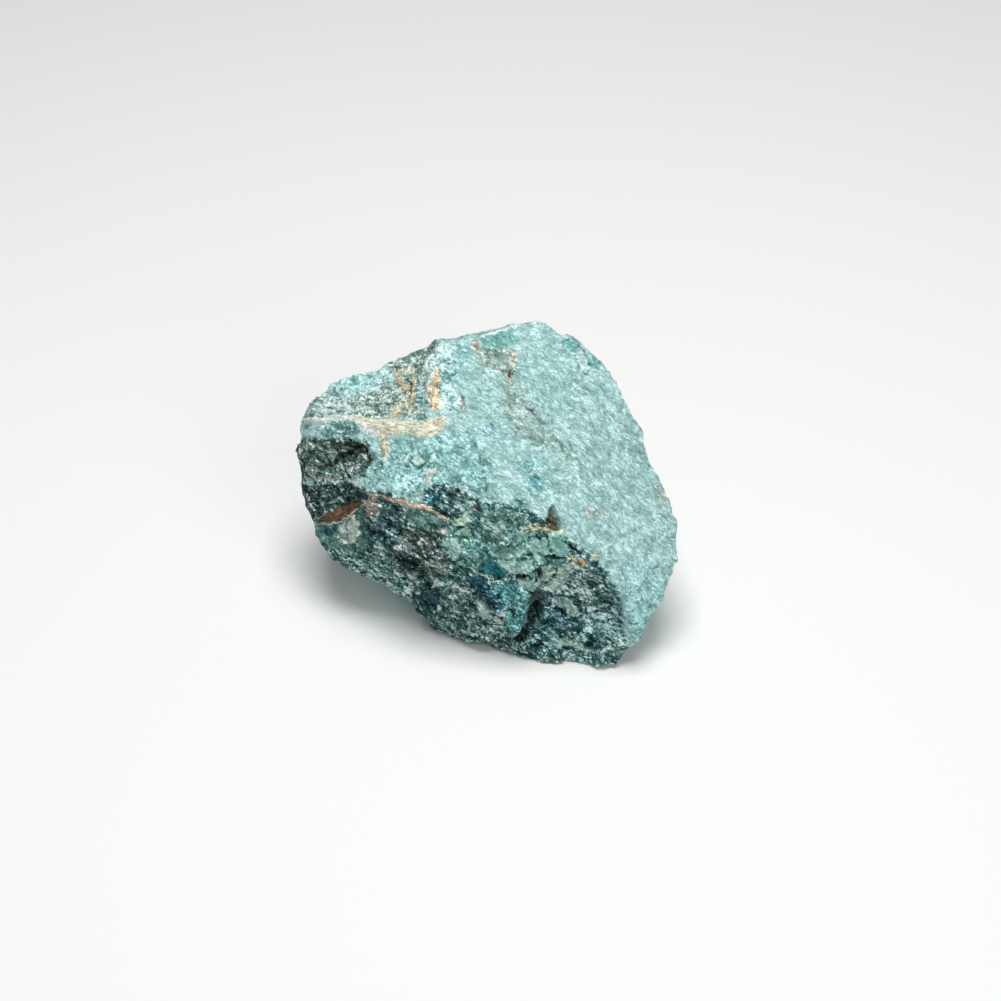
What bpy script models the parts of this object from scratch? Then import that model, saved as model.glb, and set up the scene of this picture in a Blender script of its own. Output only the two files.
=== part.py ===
"""Rough blue apatite: one broken chunk of stone, lying on a small flat spot of its own surface.

The chunk is laid out in millimetres as it is seen from the front: across to the right, up, and towards
the viewer. It is then leaned back until its flat spot is level, so that the front is seen from above.
It is about 70 mm long, 49 mm deep and 46 mm tall.
"""

import math

import bmesh
import bpy
from mathutils import Matrix, Vector, noise

MM = 0.001
NAME = "apatite"

# How far above the horizon the front is looked at from, and how far the level resting plane lies below
# the middle of the front view.
FRONT_ABOVE_HORIZON = math.radians(40)
REST_BELOW_MIDDLE = 27.0

# The fineness of the surface while it is shaped, and the triangles that are left in the end.
GRAIN = 0.7
TRIANGLES = 8600

# The stone's colour, a pale greenish blue, and how dull its broken surface is.
STONE_COLOUR = (0.34, 0.55, 0.53, 1.0)
STONE_ROUGHNESS = 0.55

# Corners of the unbroken block, each (across, up, towards the viewer).
# The rim is the outline that the front shows, clockwise from the left.
RIM = [
    (-33.4, -6.4, -8.0),
    (-28.8, -12.2, -8.5),
    (-22.0, -16.4, -9.0),
    (-13.4, -22.4, -10.0),
    (-9.8, -26.0, -10.4),
    (-3.3, -27.9, -8.7),
    (5.9, -29.5, -6.6),
    (9.6, -31.2, -5.0),
    (13.3, -33.0, -3.5),
    (17.0, -33.0, -3.6),
    (22.6, -31.8, -3.8),
    (27.6, -26.6, -1.2),
    (31.7, -19.8, -0.6),
    (33.8, -12.6, -0.6),
    (33.8, -5.2, -2.0),
    (30.2, 2.4, -3.6),
    (25.8, 15.6, -6.0),
    (22.0, 23.2, -7.2),
    (19.0, 26.2, -7.8),
    (14.4, 28.8, -8.5),
    (10.8, 31.4, -9.0),
    (7.8, 32.0, -9.0),
    (-3.3, 27.4, -7.0),
    (-10.4, 28.6, -6.5),
    (-17.0, 25.2, -8.5),
    (-26.8, 22.4, -10.0),
    (-31.2, 20.6, -10.5),
    (-34.2, 16.6, -10.5),
    (-35.2, 9.8, -9.0),
    (-35.4, 2.4, -8.0),
    (-34.9, -3.1, -8.0),
]
# The ridge parts the smooth upper right face from the rough front, from the left end to the lower right.
RIDGE = [
    (-30.5, 2.6, -1.0),
    (-21.6, 0.6, 5.5),
    (-12.2, -0.4, 9.0),
    (5.9, -3.0, 10.6),
    (12.0, -6.3, 10.2),
    (18.4, -11.2, 8.8),
    (22.6, -17.0, 6.8),
    (24.4, -25.0, 2.6),
]
UPPER_LEFT = [
    (-30.5, 12.0, -2.5),
    (-11.6, 12.0, 6.4),
    (-12.2, 20.5, 1.8),
    (-9.0, 26.5, -3.0),
]
FRONT_BULGE = [
    (-18.5, -9.0, 2.6),
    (-5.8, -12.8, 6.6),
    (6.0, -17.5, 5.6),
    (4.5, -25.5, -0.6),
]
BACK = [
    (-16.0, -13.0, -23.5),
    (-7.0, -11.0, -28.4),
    (11.0, -12.0, -28.2),
    (24.0, -16.0, -19.0),
    (31.0, -6.0, -14.0),
    (23.0, 2.0, -24.0),
    (9.0, 7.0, -29.0),
    (-10.0, 6.0, -28.5),
    (-24.0, -4.0, -22.0),
    (-31.0, 4.0, -17.0),
    (-22.0, 15.0, -21.5),
    (0.0, 22.0, -22.5),
    (17.0, 18.0, -19.0),
    (-8.0, 25.0, -18.0),
]

# Where pieces have broken away: the corners of the floor that each left, the way that it came off, and
# how much wider it was at its outer end than at that floor.
BROKEN_PIECE_HEIGHT = 18.0
BREAKS = {
    "scoop": (
        [
            (7.0, -18.6, 1.6),
            (8.6, -14.2, 4.4),
            (14.5, -12.0, 6.0),
            (19.0, -14.0, 6.0),
            (23.0, -19.5, 4.0),
            (24.6, -26.5, -0.6),
            (21.0, -33.5, -4.4),
            (8.4, -33.5, -4.6),
            (4.6, -27.4, -3.8),
            (6.6, -22.5, -1.0),
        ],
        (0.0, 0.0, 1.0),
        1.02,
    ),
    "upper_left_step": (
        [
            (-10.2, 29.5, -9.2),
            (-13.4, 21.2, -2.9),
            (-11.4, 14.4, 1.6),
            (-16.0, 13.0, 0.6),
            (-31.0, 13.0, -6.4),
            (-35.5, 21.5, -11.3),
            (-21.0, 24.8, -11.0),
        ],
        (-0.35, 0.45, 1.0),
        1.1,
    ),
    "left_hollow": (
        [
            (-31.5, 3.4, -4.2),
            (-29.5, 9.2, -4.0),
            (-22.5, 9.4, -0.2),
            (-20.4, 5.0, 2.6),
            (-23.0, 2.2, 3.0),
        ],
        (0.0, 0.0, 1.0),
        1.3,
    ),
    "lower_left_notch": (
        [
            (-24.6, -14.4, 4.0),
            (-11.0, -23.6, 4.0),
            (-11.0, -23.6, -18.0),
            (-24.6, -14.4, -18.0),
        ],
        (-0.56, -0.83, 0.0),
        1.1,
    ),
    "ridge_pit": (
        [
            (11.6, -2.4, 8.0),
            (9.6, -5.6, 6.8),
            (12.9, -6.4, 6.8),
        ],
        (0.0, 0.0, 1.0),
        1.6,
    ),
    "back_step": (
        [
            (-27.0, 9.0, -17.0),
            (-13.0, 20.5, -18.5),
            (2.0, 16.0, -22.5),
            (-1.0, 2.5, -25.5),
            (-18.0, -3.0, -21.5),
        ],
        (-0.2, 0.3, -1.0),
        1.1,
    ),
    "right_back_step": (
        [
            (27.0, 12.5, -12.5),
            (30.8, -2.0, -11.5),
            (27.0, -11.5, -15.5),
            (18.5, -3.0, -23.5),
            (16.0, 12.0, -19.5),
        ],
        (0.6, 0.2, -0.8),
        1.1,
    ),
}

# The relief of the broken surface: swells (width, height), and flat, tilted flakes (width, steepness).
SWELL = (15.0, 0.75)
FLAKES = [(9.0, 2.2), (4.0, 1.5)]
BEND = 0.35
BEND_SAMPLES_APART = (0.0, 31.0, 67.0)
FLAKE_SHUFFLE = 37.0
HALF = Vector((0.5, 0.5, 0.5))

# The smooth upper right face: the way it faces, how near to that a place must face to belong to it, a
# little and wholly, and the share of the relief that it keeps.
SMOOTH_FACE = Vector((0.36, 0.34, 0.87))
SMOOTH_FROM, SMOOTH_FULLY = 0.86, 0.95
SMOOTH_FACE_RELIEF = 0.4

GROUND_SIZE = 120.0


def clear_scene():
    for thing in list(bpy.data.objects):
        bpy.data.objects.remove(thing)


def collection(name):
    made = bpy.data.collections.new(name)
    bpy.context.scene.collection.children.link(made)
    return made


def stone_material():
    material = bpy.data.materials.new("blue_apatite")
    material.use_nodes = True
    surface = material.node_tree.nodes["Principled BSDF"]
    surface.inputs["Base Color"].default_value = STONE_COLOUR
    surface.inputs["Roughness"].default_value = STONE_ROUGHNESS
    surface.inputs["Metallic"].default_value = 0.0
    return material


def block(name, corners, into):
    """The solid that these corners span, as stone breaks when nothing is left of it but flat faces."""
    shape = bmesh.new()
    for corner in corners:
        shape.verts.new(Vector(corner) * MM)
    bmesh.ops.convex_hull(shape, input=shape.verts)
    bmesh.ops.delete(shape, geom=[corner for corner in shape.verts if not corner.link_faces], context="VERTS")
    bmesh.ops.recalc_face_normals(shape, faces=shape.faces)
    mesh = bpy.data.meshes.new(name)
    shape.to_mesh(mesh)
    shape.free()
    made = bpy.data.objects.new(name, mesh)
    into.objects.link(made)
    return made


def as_cutter(thing):
    thing.hide_render = True
    thing.display_type = "WIRE"
    return thing


def broken_piece(name, floor, away, widening, into):
    """The piece that came off, which stands on the floor that it left."""
    middle = sum((Vector(corner) for corner in floor), Vector()) / len(floor)
    reach = Vector(away).normalized() * BROKEN_PIECE_HEIGHT
    outer_end = [middle + (Vector(corner) - middle) * widening + reach for corner in floor]
    return as_cutter(block(name, floor + outer_end, into))


def apply_modifiers(thing):
    bpy.context.view_layer.update()
    graph = bpy.context.evaluated_depsgraph_get()
    shaped = bpy.data.meshes.new_from_object(thing.evaluated_get(graph))
    thing.modifiers.clear()
    thing.data = shaped


def cut(thing, cutter):
    cutting = thing.modifiers.new("Cut", "BOOLEAN")
    cutting.operation = "DIFFERENCE"
    cutting.object = cutter
    apply_modifiers(thing)


def resurface(thing, grain):
    fine = thing.modifiers.new("Resurface", "REMESH")
    fine.mode = "VOXEL"
    fine.voxel_size = grain * MM
    apply_modifiers(thing)


def thin_out(thing, triangles):
    thing.data.calc_loop_triangles()
    fewer = thing.modifiers.new("Thin out", "DECIMATE")
    fewer.ratio = triangles / len(thing.data.loop_triangles)
    fewer.use_collapse_triangulate = True
    apply_modifiers(thing)


def bent(place):
    """This place pushed about a little, so that edges laid out by it run crooked."""
    push = [noise.noise(place + Vector((apart, apart, -apart))) for apart in BEND_SAMPLES_APART]
    return place + Vector(push) * BEND


def flakes(place, width, steepness):
    """How far flat, tilted flakes, each about this wide, lift this place off the surface."""
    along = bent(place / width)
    middle_of_flake = noise.voronoi(along)[1][0]
    tilt = noise.cell_vector(middle_of_flake * FLAKE_SHUFFLE) - HALF
    return (along - middle_of_flake).dot(tilt) * steepness


def relief(place, facing):
    smooth = (facing.dot(SMOOTH_FACE) - SMOOTH_FROM) / (SMOOTH_FULLY - SMOOTH_FROM)
    kept = 1.0 - (1.0 - SMOOTH_FACE_RELIEF) * min(max(smooth, 0.0), 1.0)
    swell_width, swell_height = SWELL
    lift = noise.noise(place / swell_width) * swell_height
    for width, steepness in FLAKES:
        lift += flakes(place, width, steepness)
    return lift * kept


def roughen(thing):
    points = thing.data.vertices
    lifted = [point.co + point.normal * relief(point.co / MM, point.normal) * MM for point in points]
    for point, place in zip(points, lifted):
        point.co = place


def bounds(thing):
    places = [point.co for point in thing.data.vertices]
    return Vector(map(min, zip(*places))), Vector(map(max, zip(*places)))


def lay_on_flat_spot(stone, cutters):
    """Leans the stone back, cuts its flat spot level, and puts the origin under its middle, at the base."""
    stone.data.transform(Matrix.Rotation(math.radians(90) - FRONT_ABOVE_HORIZON, 4, "X"))
    bpy.ops.mesh.primitive_cube_add(size=GROUND_SIZE * MM)
    ground = as_cutter(bpy.context.object)
    ground.name = "ground"
    ground.location.z = -(REST_BELOW_MIDDLE + GROUND_SIZE / 2) * MM
    for home in list(ground.users_collection):
        home.objects.unlink(ground)
    cutters.objects.link(ground)
    cut(stone, ground)
    low, high = bounds(stone)
    middle = (low + high) / 2
    stone.data.transform(Matrix.Translation((-middle.x, -middle.y, -low.z)))


def main():
    clear_scene()
    cutters = collection("cutters")
    corners = RIM + RIDGE + UPPER_LEFT + FRONT_BULGE + BACK
    stone = block(NAME, corners, collection("rough_blue_apatite"))
    for name, (floor, away, widening) in BREAKS.items():
        cut(stone, broken_piece(name, floor, away, widening, cutters))
    resurface(stone, GRAIN)
    roughen(stone)
    resurface(stone, GRAIN)
    thin_out(stone, TRIANGLES)
    lay_on_flat_spot(stone, cutters)
    stone.data.materials.clear()
    stone.data.materials.append(stone_material())


main()
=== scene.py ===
"""The looks of a rough blue apatite: one broken chunk of stone, lying on a plain pale floor.

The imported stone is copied, resurfaced finely and carved into crystals, and its zones, veins, stains and
chips are painted on as attributes, which its material then breaks up into grain. Features of the front
are laid out where the camera sees them, in pixels of its 1001 pixel view. Everything else is in
millimetres, until it is written to a mesh in metres.
"""

import math

import bpy
import numpy as np
from mathutils import Matrix, Vector


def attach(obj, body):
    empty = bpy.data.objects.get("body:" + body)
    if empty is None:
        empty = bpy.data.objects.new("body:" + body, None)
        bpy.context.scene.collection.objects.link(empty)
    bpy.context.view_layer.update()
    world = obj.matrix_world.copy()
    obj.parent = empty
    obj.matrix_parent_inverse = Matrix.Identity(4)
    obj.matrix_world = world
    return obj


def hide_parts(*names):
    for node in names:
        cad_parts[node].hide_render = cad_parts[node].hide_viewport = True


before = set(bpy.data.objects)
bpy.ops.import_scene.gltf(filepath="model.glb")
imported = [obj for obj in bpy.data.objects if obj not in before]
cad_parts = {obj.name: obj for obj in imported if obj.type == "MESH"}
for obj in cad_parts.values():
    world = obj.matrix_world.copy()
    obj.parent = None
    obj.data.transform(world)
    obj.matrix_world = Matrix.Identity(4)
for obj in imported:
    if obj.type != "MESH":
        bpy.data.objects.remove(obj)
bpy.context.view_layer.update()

MM = 0.001

# The front is looked at from this far above the horizon, and its middle lies here, in millimetres.
FRONT_ABOVE_HORIZON = math.radians(40)
FRONT_MIDDLE = Vector((1.0668, -6.5023, 27.0))

# The camera, on the front's own axes: across, up and towards the viewer, in millimetres. It sees the front's
# middle at about this pixel, across and down, and at about this scale.
VIEW_PIXELS = 1001
MM_A_PIXEL = 0.185
MIDDLE_ACROSS = 492
MIDDLE_DOWN = 493
LENS = 85.0
SENSOR = 36.0
DISTANCE = 430.0
CAMERA_PLACE = Vector((
    (VIEW_PIXELS / 2 - MIDDLE_ACROSS) * MM_A_PIXEL, (MIDDLE_DOWN - VIEW_PIXELS / 2) * MM_A_PIXEL, DISTANCE
))

# The stone's mesh: the fineness that it is carved at, how often its facets are evened out before that, how
# many triangles it may have, for which the sides that the camera doesn't see are made coarser, the angle
# from which an edge stays sharp, and how often its normals are evened out where a pattern asks which way
# it faces.
FINENESS = 0.30
SOFTENING = 7
TRIANGLES = 192000
SHARP = math.radians(32)
NORMALS_EVENED = 12

# Crystals carved into the surface: seed, width in millimetres, their tilt and their step in widths, and how
# much lighter or darker than its neighbour one can be, in stops.
CRYSTALS = [
    (11, 5.2, 0.12, 0.05, 0.5),
    (12, 2.3, 0.26, 0.15, 1.5),
    (13, 1.15, 0.34, 0.22, 1.4),
]

# The stone's grain runs this way. Crystals are longer along it, this many times.
GRAIN_WAY = (0.80, -0.39, -0.46)
LONGER = 1.5

# Random waves that bend the crystals and blotches, by millimetres, and the borders on the front, by pixels:
# seeds, width in millimetres, and how far.
BENT = ((1, 2, 3), 2.0, 0.7)
WAVY = ((21, 22), 1.5, 3.0)
RAGGED = ((23, 24), 0.7, 3.0)
TORN = ((25, 26), 1.1, 6.0)

# How rough the stone is broken, where its dark front is 1: its other sides, and how much smoother than those
# its smooth upper right face is. That face looks this way, on the front's own axes.
ROUGH = 0.62
SMOOTHER = 0.47
SMOOTH_WAY = (0.36, 0.34, 0.87)

# Patterns of the material: their length along the stone's grain, and their width, in millimetres.
CHIP = (0.95, 0.6)
SLIVER = (0.6, 0.3)
SPECK = (0.34, 0.22)
LIGHT_LINE = (1.7, 0.9)
PATCH = (2.6, 1.7)

# They are bent out of straight: how many bends there are to a metre, and how far they go, in millimetres.
BENDS_A_METRE = 900.0
BEND = 0.35

# The fibres of the veins: how many there are to a pixel, along the vein and across it, and how far they
# change its brightness, in stops.
FIBRES_ALONG = 0.07
FIBRES_ACROSS = 0.75
FIBRE_STOPS = 4.0

# The light strokes of the smooth upper right face: the way they run, length, width, and brightness in stops.
STROKES = [
    ((0.50, -0.66, -0.57), 1.2, 0.17, 0.4),
    ((0.75, 0.66, 0.03), 1.0, 0.17, 0.34),
    ((0.90, 0.05, -0.38), 0.7, 0.16, 0.3),
]

# How many stops red and blue change for each stop of green, and how much more red is lost in the dark, for
# each squared stop below zero.
RED_FOR_GREEN = 1.2
BLUE_FOR_GREEN = 1.02
RED_LOST_IN_DARK = 0.18

# How bright the stone's colour may get: its green, which keeps the hue, and then each of its three tones.
BRIGHTEST_GREEN = 0.97
BRIGHTEST = 0.95

APATITE_IOR = 1.63

# Random numbers for the crystals and swells come from one shuffled table.
TABLE_SIZE = 2048

# Colours of the stone, as linear red, green and blue.
TEAL = (0.36, 0.57, 0.555)
PALE_TEAL = (0.48, 0.72, 0.68)
DEEP_TEAL = (0.14, 0.34, 0.33)
GREY_GREEN = (0.30, 0.41, 0.36)
SLATE = (0.104, 0.212, 0.206)
DEEP_BLUE = (0.009, 0.062, 0.095)
CREAM = (0.74, 0.72, 0.555)
TAN = (0.50, 0.40, 0.29)
RUST = (0.48, 0.335, 0.215)
OCHRE = (0.67, 0.51, 0.35)
BROWN = (0.10, 0.055, 0.032)
WHITE = (0.78, 0.90, 0.87)
OLIVE = (0.17, 0.15, 0.085)
# Painted shade in the cracks, nearly black.
PAINTED_CRACK_SHADE = (0.010, 0.016, 0.018)
GREEN_GREY = (0.20, 0.33, 0.29)
PALE_GREEN = (0.42, 0.56, 0.44)
ICE = (0.64, 0.90, 0.87)

# The roughest parts of the front: the dark front itself, and the hollow at its left.
DARK_FRONT = [
    (290, 476), (345, 480), (366, 490), (394, 494), (404, 499), (417, 503), (423, 501), (424, 490),
    (434, 484), (448, 485), (474, 498),
    (524, 508), (549, 522), (570, 540), (593, 556), (607, 576), (617, 589), (622, 612), (623, 631),
    (629, 649), (618, 664), (640, 720), (290, 720),
]
BROKEN_LEFT = [(290, 432), (368, 436), (384, 448), (390, 470), (366, 488), (290, 484)]

# Zones of the front: outline, colour, how strongly it covers, grain, and half its border's softness.
ZONES = {
    "left rim": ([(300, 390), (322, 376), (348, 366), (376, 360), (392, 370), (373, 390), (360, 396),
                  (330, 396)], (0.47, 0.75, 0.73), 0.9, 0.4, 5),
    "left sparkle": ([(290, 396), (338, 395), (358, 397), (358, 414), (340, 420), (290, 420)],
                     (0.44, 0.56, 0.53), 0.8, 0.65, 3),
    "left grey": ([(358, 394), (374, 388), (394, 382), (412, 372), (424, 352), (430, 366), (420, 398),
                   (428, 418), (396, 418), (356, 418)], (0.35, 0.46, 0.41), 0.85, 0.65, 3),
    "upper ridge": ([(384, 364), (410, 346), (432, 336), (438, 344), (424, 366), (410, 374), (392, 376)],
                    GREY_GREEN, 0.8, 0.7, 3),
    "top strip": ([(480, 336), (512, 326), (520, 344), (500, 350), (482, 348)],
                  (0.16, 0.42, 0.39), 0.7, 0.25, 2),
    "top grey": ([(476, 346), (514, 348), (519, 372), (505, 378), (490, 368), (480, 366)],
                 (0.35, 0.45, 0.39), 0.8, 0.4, 4),
    "middle grey": ([(504, 376), (520, 392), (546, 420), (556, 442), (540, 446), (516, 436), (500, 402)],
                    (0.31, 0.42, 0.37), 0.65, 0.3, 5),
    "streaked block": ([(440, 343), (452, 345), (457, 366), (454, 392), (460, 402), (450, 414), (440, 412),
                        (442, 388), (432, 372), (427, 392), (416, 408), (416, 392), (422, 372), (430, 354)],
                       ICE, 0.55, 0.75, 2),
    "blue stripes": ([(482, 426), (492, 424), (501, 434), (496, 440), (484, 434)],
                     (0.22, 0.42, 0.46), 0.7, 0.5, 2),
    "teal lens": ([(324, 424), (342, 421), (358, 424), (361, 432), (350, 437), (326, 436)],
                  (0.15, 0.30, 0.28), 0.9, 0.6, 1.5),
    "sugary left": ([(366, 470), (396, 436), (470, 434), (492, 460), (486, 496), (430, 488), (400, 494)],
                    (0.36, 0.64, 0.62), 0.8, 0.4, 8),
    "left cavity": ([(290, 438), (330, 438), (369, 442), (376, 458), (366, 474), (340, 482), (290, 480)],
                    (0.075, 0.12, 0.103), 0.9, 0.9, 2),
    "dark front": (DARK_FRONT, SLATE, 1.0, 1.0, 2),
    "slate band": ([(458, 500), (500, 506), (526, 512), (534, 530), (524, 551), (480, 552), (466, 536),
                    (460, 518)], (0.24, 0.42, 0.385), 0.9, 0.65, 3),
    "below vein": ([(405, 508), (432, 512), (449, 522), (444, 530), (425, 528), (408, 520)],
                   (0.13, 0.255, 0.225), 0.9, 0.3, 2),
    "gritty": ([(403, 527), (440, 526), (452, 536), (448, 572), (425, 577), (396, 572), (390, 552)],
               (0.108, 0.152, 0.138), 0.85, 0.85, 4),
    "gritty dark": ([(392, 554), (416, 552), (421, 562), (416, 571), (394, 570)],
                    (0.03, 0.058, 0.064), 0.85, 1.0, 3),
    "left teal": ([(317, 524), (340, 518), (362, 512), (372, 520), (368, 548), (350, 556), (316, 545)],
                  (0.115, 0.235, 0.215), 0.9, 0.4, 3),
    "left black": ([(300, 484), (350, 484), (369, 492), (370, 506), (356, 504), (336, 510), (300, 522)],
                   (0.030, 0.064, 0.064), 0.95, 1.0, 2),
    "navy blob": ([(366, 526), (382, 523), (390, 530), (387, 540), (370, 542)],
                  (0.024, 0.065, 0.075), 0.85, 0.9, 2),
    "teal dark": ([(379, 503), (398, 506), (406, 520), (396, 528), (380, 522)],
                  (0.055, 0.125, 0.128), 0.8, 0.8, 3),
    "rim green": ([(330, 560), (352, 552), (400, 588), (432, 610), (450, 640), (500, 654), (500, 672),
                   (330, 640)], (0.125, 0.235, 0.20), 0.6, 0.9, 5),
    "lower slate": ([(440, 598), (464, 594), (478, 604), (500, 624), (512, 636), (520, 650), (500, 650),
                     (460, 642), (440, 618)], (0.085, 0.165, 0.15), 0.85, 1.0, 4),
    "lower blue": ([(410, 594), (430, 594), (441, 604), (434, 612), (418, 606)],
                   (0.018, 0.075, 0.10), 0.9, 0.6, 2),
    "middle facet": ([(452, 522), (470, 528), (496, 551), (528, 535), (562, 533), (570, 545), (566, 562),
                      (553, 574), (530, 592), (524, 566), (500, 560), (476, 566), (450, 560), (440, 546)],
                     (0.29, 0.52, 0.47), 0.85, 0.6, 3),
    "scoop": ([(530, 592), (556, 578), (590, 562), (612, 590), (620, 620), (624, 650), (600, 662),
               (520, 650), (514, 636), (526, 612)], (0.12, 0.245, 0.24), 0.8, 1.0, 2),
    "scoop grit": ([(560, 572), (588, 566), (606, 588), (612, 612), (590, 616), (570, 598)],
                   (0.21, 0.34, 0.32), 0.7, 1.0, 4),
    "scoop teal": ([(552, 604), (572, 606), (588, 626), (560, 636), (540, 634), (536, 622)],
                   (0.05, 0.13, 0.145), 0.8, 0.95, 3),
}

# The zones where crystals have dark rims. Elsewhere their rims are light, painted highlights on their edges.
FACETED = ("sugary left", "middle facet")

# A plate has a light line just inside its border, a painted highlight on its edge, and a dark gap just
# outside, partly real cracks and partly painted shade around its raised edge: how many pixels inside it is,
# its half width and its brightness in stops.
PLATE_EDGE_HIGHLIGHT = (0.6, 1.2, 0.45)
PLATE_SHADE_AND_GAP = (-1.4, 1.6, -1.2)

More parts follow.
